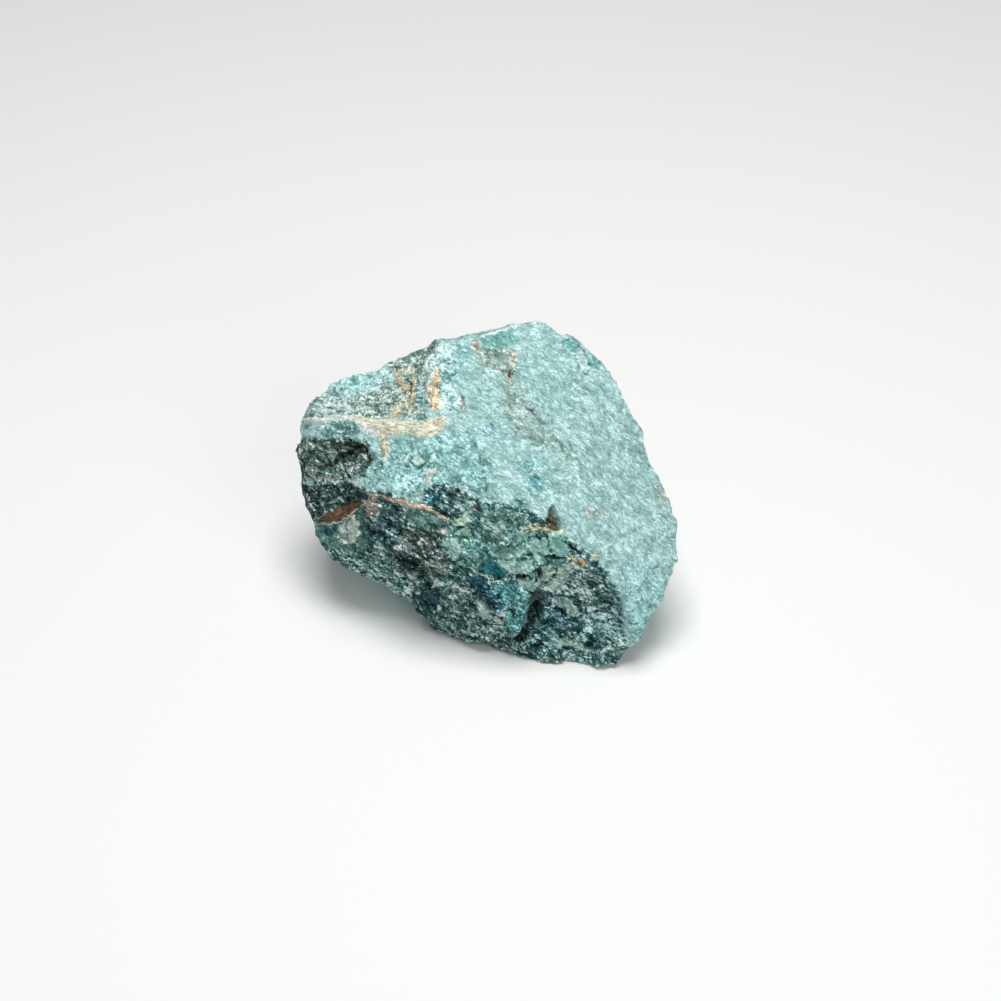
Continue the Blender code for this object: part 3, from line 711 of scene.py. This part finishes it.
def lay_features(coats, ragged, torn, wavy):
    """The zones, spots, plates, veins and cracks of the front. The borders of zones and spots are ragged,
    those of plates torn, and those of veins wavy."""
    skin = coats.skin
    gaps = ramp(Chance(27).swell(skin.places, 1.6), -0.12, 0.2) * skin.seen
    for name, (outline, colour, strength, grain, soft) in ZONES.items():
        cover = ramp(within(ragged, outline), -soft, soft) * strength * skin.seen
        coats.paint(colour, cover, grain)
        coats.dark_rims += ((name in FACETED) - coats.dark_rims) * cover
    for outline, colour, rise, grain in PLATES.values():
        deep = within(torn, outline)
        cover = ramp(deep, -1.0, 1.0) * skin.seen
        coats.paint(colour, cover * 0.85, grain)
        coats.flatten(cover, grain)
        coats.lift += ramp(deep, -0.7, 1.0) * skin.seen * rise
        # A painted highlight just inside the plate's border, and painted shade and dark gaps just outside it.
        for (inside, half_width, stops), here in ((PLATE_EDGE_HIGHLIGHT, skin.seen), (PLATE_SHADE_AND_GAP, gaps)):
            coats.stops += line_at(deep, inside, half_width) * here * stops
    for middle, radii, turn, colour, strength, grain in SPOTS:
        cover = ramp(in_spot(ragged, middle, radii, turn), -0.05, 0.35) * strength * skin.seen
        coats.paint(colour, cover, grain)
    for line, rise, colour, grain in VEINS.values():
        broad = max(half_width for _across, _down, half_width in line) > BROAD
        inside = in_vein(ragged if broad else wavy, line)[0]
        _straight, along, aside = in_vein(skin.view, line)
        cover = ramp(inside, -0.1, 0.35) * skin.seen
        coats.paint(colour, cover * 0.95, grain)
        coats.flatten(cover, grain)
        coats.lift += ramp(inside, 0.0, 0.7) * skin.seen * rise
        coats.fibre += (np.stack([along, aside, np.ones(len(along))], axis=1) - coats.fibre) * cover[:, None]
    cream_end = in_spot(ragged, (434, 423), (9, 4.5), -15)
    coats.paint(RUST, ramp(cream_end, 0.0, 0.6) * 0.6 * skin.seen)
    for line, depth in CRACKS:
        inside = in_vein(wavy, line)[0]
        open_here = 1.0 if depth > HAIRLINE else 0.3 + 0.7 * gaps
        coats.lift -= ramp(inside, -0.6, 0.6) * skin.seen * depth
        # Cracks other than the pit are painted nearly black, as painted shade in them.
        coats.paint(OLIVE if depth > PIT else PAINTED_CRACK_SHADE, ramp(inside, -0.2, 0.5) * skin.seen * open_here * 0.95)


def grow_crystals(coats, places, rough):
    """Tilted crystals of several sizes, lighter and darker, with light rims, painted highlights on their
    edges, or, in the faceted zones, dark ones. They're low near the outline."""
    near_outline = 0.35 + 0.65 * ramp(np.abs(coats.skin.front_normals[:, 2]), 0.05, 0.4)
    way = np.array(GRAIN_WAY) / np.linalg.norm(GRAIN_WAY)
    squeezed = places - (places @ way)[:, None] * way * (1 - 1 / LONGER)
    for seed, width, steep, step, shade in CRYSTALS:
        rise, numbers, edge = Chance(seed).crystals(squeezed, width)
        height = width * (steep * rise + step * (numbers[:, 0] - 0.5))
        coats.lift += height * rough * coats.relief * near_outline
        # Light rims are painted highlights on the crystals' edges. In the faceted zones the rims are dark
        # instead.
        rim = (1 - ramp(edge, 0.04, 0.16)) * (0.5 - 0.9 * coats.dark_rims)
        lighter = shade * (numbers[:, 1] - 0.5) + rim
        coats.stops += lighter * (0.2 + 0.8 * coats.relief) * (0.03 + 0.97 * coats.grain ** 1.4)


def waves(skin, seeds, width, push):
    """Smooth, random waves about this wide over the skin, one number for each seed, and this strong."""
    return np.stack([Chance(seed).swell(skin.places, width) for seed in seeds], axis=1) * push


def carve_and_paint(stone):
    """Lifts the surface into crystals, veins and plates, sinks the cracks, and writes the colours and other
    values that the material reads."""
    skin = Skin(stone.data)
    bent = skin.places + waves(skin, *BENT)
    wavy = skin.view + waves(skin, *WAVY)
    ragged = wavy + waves(skin, *RAGGED)
    torn = wavy + waves(skin, *TORN)
    coats = Coats(skin)
    lay_ground(coats, bent)
    lay_features(coats, ragged, torn, wavy)
    grow_crystals(coats, bent, roughness_of(skin))
    near_rim = ramp(0.85 - np.abs(skin.front_normals[:, 2]), 0.0, 0.5)
    for middle, radii, turn, push in NUDGES:
        coats.lift += ramp(in_spot(skin.view, middle, radii, turn), 0, 1) * near_rim * push
    moved = skin.places + skin.smooth * coats.lift[:, None]
    moved[:, 2] = np.maximum(moved[:, 2], 0.0)
    mesh = stone.data
    mesh.vertices.foreach_set("co", (moved * MM).ravel())
    mesh.update()
    colours = mesh.attributes.new("stone_colour", "FLOAT_COLOR", "POINT")
    colours.data.foreach_set("color", np.c_[coats.colour, np.ones(len(moved))].ravel())
    for name, values in (("grain", coats.grain), ("stops", coats.stops)):
        mesh.attributes.new(name, "FLOAT", "POINT").data.foreach_set("value", values)
    mesh.attributes.new("fibre", "FLOAT_VECTOR", "POINT").data.foreach_set("vector", coats.fibre.ravel())


def add(tree, kind, sockets, **settings):
    """A node of this kind, with its settings, and its sockets linked or set."""
    node = tree.nodes.new("ShaderNode" + kind)
    for name, value in settings.items():
        setattr(node, name, value)
    for name, value in sockets.items():
        if isinstance(value, bpy.types.NodeSocket):
            tree.links.new(value, node.inputs[name])
        else:
            node.inputs[name].default_value = value
    return node


def maths(tree, operation, *values):
    return add(tree, "Math", dict(enumerate(values)), operation=operation).outputs[0]


def scaled(tree, vector, factor):
    return add(tree, "VectorMath", {0: vector, "Scale": factor}, operation="SCALE").outputs[0]


def above(tree, value, low, high):
    """From 0 where this value is low to 1 where it is high."""
    return add(
        tree, "MapRange", {"Value": value, "From Min": low, "From Max": high}, interpolation_type="SMOOTHSTEP"
    ).outputs[0]


def summed(tree, *shares):
    """The sum of these (value, factor) pairs."""
    total = 0.0
    for value, factor in shares:
        total = maths(tree, "MULTIPLY_ADD", value, factor, total)
    return total


def laid(tree, place, way, length, width):
    """This place in lengths along this way, and in widths across it. Both are in millimetres."""
    turn = Vector((1, 0, 0)).rotation_difference(Vector(way)).to_euler()
    size = (length * MM, width * MM, width * MM)
    sockets = {"Vector": place, "Rotation": turn, "Scale": size}
    return add(tree, "Mapping", sockets, vector_type="TEXTURE").outputs[0]


def shards(tree, place, way, length, width):
    """Flat, tilted crystal faces: their height in widths, and two random greys of each."""
    inside = laid(tree, place, way, length, width)
    cells = add(tree, "TexVoronoi", {"Vector": inside, "Scale": 1.0}, feature="F1")
    away = add(tree, "VectorMath", {0: inside, 1: cells.outputs["Position"]}, operation="SUBTRACT")
    tilt = add(tree, "VectorMath", {0: cells.outputs["Color"], 1: (0.5, 0.5, 0.5)}, operation="SUBTRACT")
    height = add(tree, "VectorMath", {0: away.outputs[0], 1: tilt.outputs[0]}, operation="DOT_PRODUCT")
    greys = add(tree, "SeparateColor", {0: cells.outputs["Color"]})
    return height.outputs["Value"], greys.outputs[0], greys.outputs[1]


def noise(tree, place, detail=2.0):
    return add(tree, "TexNoise", {"Vector": place, "Scale": 1.0, "Detail": detail}).outputs["Fac"]


def strokes(tree, place, way, length, width):
    """Light strokes of about this length and width, from 0 to 1."""
    return above(tree, noise(tree, laid(tree, place, way, length, width), 1.0), 0.55, 0.64)


def squiggles(tree, place, way, length, width, line):
    """Thin, winding lines, from 0 to 1, around blotches of this length and width."""
    blotches = noise(tree, laid(tree, place, way, length, width))
    off_middle = maths(tree, "ABSOLUTE", maths(tree, "SUBTRACT", blotches, 0.5))
    return maths(tree, "SUBTRACT", 1.0, above(tree, off_middle, 0.0, line))


def painted(tree, name, output="Fac"):
    """A value or colour that carve_and_paint wrote on the stone."""
    return add(tree, "Attribute", {}, attribute_name=name).outputs[output]


def grain_patterns(tree, place):
    """The stone's grain: its brightness in stops, up and down from the zone's own colour, where the stone is
    rugged, with painted glints, and where it is gentle, the height of its crystal faces, and a random grey of
    each chip."""
    wander = add(tree, "TexNoise", {"Vector": place, "Scale": BENDS_A_METRE, "Detail": 1.0}).outputs["Color"]
    pushed = add(tree, "VectorMath", {0: wander, 1: (0.5, 0.5, 0.5)}, operation="SUBTRACT").outputs[0]
    bent = add(tree, "VectorMath", {0: place, 1: scaled(tree, pushed, BEND * MM)}, operation="ADD").outputs[0]
    chip, chip_grey, chip_kind = shards(tree, bent, GRAIN_WAY, *CHIP)
    sliver, sliver_grey, sliver_kind = shards(tree, bent, GRAIN_WAY, *SLIVER)
    _speck, speck_grey, speck_kind = shards(tree, bent, GRAIN_WAY, *SPECK)
    light_lines = squiggles(tree, place, GRAIN_WAY, *LIGHT_LINE, 0.035)
    patches = noise(tree, laid(tree, place, GRAIN_WAY, *PATCH), 3.0)
    # Painted glints: the brightest of the chips, slivers and specks made lighter, in stops, as painted
    # highlights.
    painted_glints = [
        (above(tree, chip_kind, 0.92, 0.93), 1.6),
        (above(tree, sliver_kind, 0.89, 0.90), 2.1),
        (above(tree, speck_kind, 0.94, 0.95), 1.8),
    ]
    drawn = [(strokes(tree, bent, way, length, width), stops) for way, length, width, stops in STROKES]
    rugged = summed(
        tree, (chip_grey, 2.2), (sliver_grey, 2.0), (speck_grey, 1.5), (patches, 6.2), (light_lines, 1.6),
        *painted_glints, (1.0, -7.35),
    )
    gentle = summed(tree, *drawn, (chip_grey, 0.12), (sliver_grey, 0.3), (patches, 0.2), (1.0, -0.45))
    height = summed(
        tree, (chip, 0.6), (sliver, 0.3), (light_lines, 0.15), (drawn[0][0], 0.15), (drawn[1][0], 0.12)
    )
    return rugged, gentle, height, chip_grey


def fibre_pattern(tree):
    """The fibres of the veins: their brightness in stops, and how fibrous each place is."""
    along, aside, fibrous = add(tree, "SeparateXYZ", {0: painted(tree, "fibre", "Vector")}).outputs
    drawn_out = {
        0: maths(tree, "MULTIPLY", along, FIBRES_ALONG),
        1: maths(tree, "MULTIPLY", aside, FIBRES_ACROSS),
    }
    streaks = noise(tree, add(tree, "CombineXYZ", drawn_out).outputs[0])
    return maths(tree, "MULTIPLY", maths(tree, "SUBTRACT", streaks, 0.5), FIBRE_STOPS), fibrous


def shaded(tree, colour, stops):
    """This colour, so many stops brighter or darker. The darker it gets, the less red is left in it, and
    where it would burn out it stays at the brightest tone of its own hue."""
    darker = maths(tree, "MINIMUM", stops, 0.0)
    lost = maths(tree, "MULTIPLY", darker, darker)
    red_stops = summed(tree, (stops, RED_FOR_GREEN), (lost, -RED_LOST_IN_DARK))
    blue_stops = maths(tree, "MULTIPLY", stops, BLUE_FOR_GREEN)
    gains = [maths(tree, "POWER", 2.0, value) for value in (red_stops, stops, blue_stops)]
    gain = add(tree, "CombineXYZ", dict(enumerate(gains))).outputs[0]
    brighter = add(tree, "VectorMath", {0: colour, 1: gain}, operation="MULTIPLY").outputs[0]
    green = add(tree, "SeparateXYZ", {0: brighter}).outputs[1]
    kept = maths(tree, "MINIMUM", 1.0, maths(tree, "DIVIDE", BRIGHTEST_GREEN, green))
    ceiling = (BRIGHTEST, BRIGHTEST, BRIGHTEST)
    return add(
        tree, "VectorMath", {0: scaled(tree, brighter, kept), 1: ceiling}, operation="MINIMUM"
    ).outputs[0]


def apatite_material():
    material = bpy.data.materials.new("blue_apatite_crystal")
    material.use_nodes = True
    tree = material.node_tree
    surface = tree.nodes["Principled BSDF"]
    place = add(tree, "TexCoord", {}).outputs["Object"]
    rugged, gentle, height, chip_grey = grain_patterns(tree, place)
    fibres, fibrous = fibre_pattern(tree)
    mixed = add(tree, "Mix", {0: painted(tree, "grain"), 2: gentle, 3: rugged}, data_type="FLOAT").outputs[0]
    with_fibres = maths(tree, "MULTIPLY_ADD", fibres, fibrous, mixed)
    stops = maths(tree, "ADD", with_fibres, painted(tree, "stops"))
    tree.links.new(shaded(tree, painted(tree, "stone_colour", "Color"), stops), surface.inputs["Base Color"])
    bump = add(tree, "Bump", {"Height": height, "Strength": 0.5, "Distance": 0.35 * MM})
    tree.links.new(bump.outputs[0], surface.inputs["Normal"])
    tree.links.new(maths(tree, "MULTIPLY_ADD", chip_grey, 0.3, 0.35), surface.inputs["Roughness"])
    surface.inputs["IOR"].default_value = APATITE_IOR
    surface.inputs["Specular IOR Level"].default_value = 0.04
    return material


def floor():
    bpy.ops.mesh.primitive_plane_add(size=6.0, location=(0, 0, -0.0002))
    ground = bpy.context.object
    ground.name = "floor"
    material = bpy.data.materials.new("pale_floor")
    material.use_nodes = True
    paint = material.node_tree.nodes["Principled BSDF"]
    paint.inputs["Base Color"].default_value = (0.9, 0.9, 0.89, 1)
    paint.inputs["Roughness"].default_value = 0.8
    ground.data.materials.append(material)


def from_front(place):
    """The world place, in metres, of a place on the front's own axes, in millimetres."""
    lean = Matrix.Rotation(math.pi / 2 - FRONT_ABOVE_HORIZON, 4, "X")
    return (lean @ place + FRONT_MIDDLE) * MM


def camera():
    seeing = bpy.data.cameras.new("camera")
    seeing.lens = LENS
    seeing.sensor_width = SENSOR
    seeing.clip_start = 0.01
    made = bpy.data.objects.new("camera", seeing)
    made.location = from_front(CAMERA_PLACE)
    made.rotation_euler = (math.pi / 2 - FRONT_ABOVE_HORIZON, 0, 0)
    bpy.context.scene.collection.objects.link(made)
    bpy.context.scene.camera = made


def softbox(name, place, size, watts):
    """A square area light at this place, in metres, aimed at the stone."""
    light = bpy.data.lights.new(name, "AREA")
    light.shape = "SQUARE"
    light.size = size
    light.energy = watts
    made = bpy.data.objects.new(name, light)
    made.location = place
    middle_of_stone = Vector((0, 0, 0.02))
    made.rotation_euler = (middle_of_stone - Vector(place)).to_track_quat("-Z", "Y").to_euler()
    bpy.context.scene.collection.objects.link(made)


def studio():
    world = bpy.data.worlds.new("studio")
    world.use_nodes = True
    world.node_tree.nodes["Background"].inputs["Color"].default_value = (1, 1, 1, 1)
    world.node_tree.nodes["Background"].inputs["Strength"].default_value = 0.2
    bpy.context.scene.world = world
    softbox("key", (0.0, -0.02, 0.60), 0.30, 3.0)
    softbox("fill", (0.30, -0.50, 0.42), 0.5, 1.1)
    bpy.context.scene.view_settings.view_transform = "Standard"


camera()
studio()
floor()
rough_apatite = stone_block()
carve_and_paint(rough_apatite)
bpy.ops.object.shade_smooth_by_angle(angle=SHARP)
rough_apatite.data.materials.clear()
rough_apatite.data.materials.append(apatite_material())
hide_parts("apatite")
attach(rough_apatite, "root")
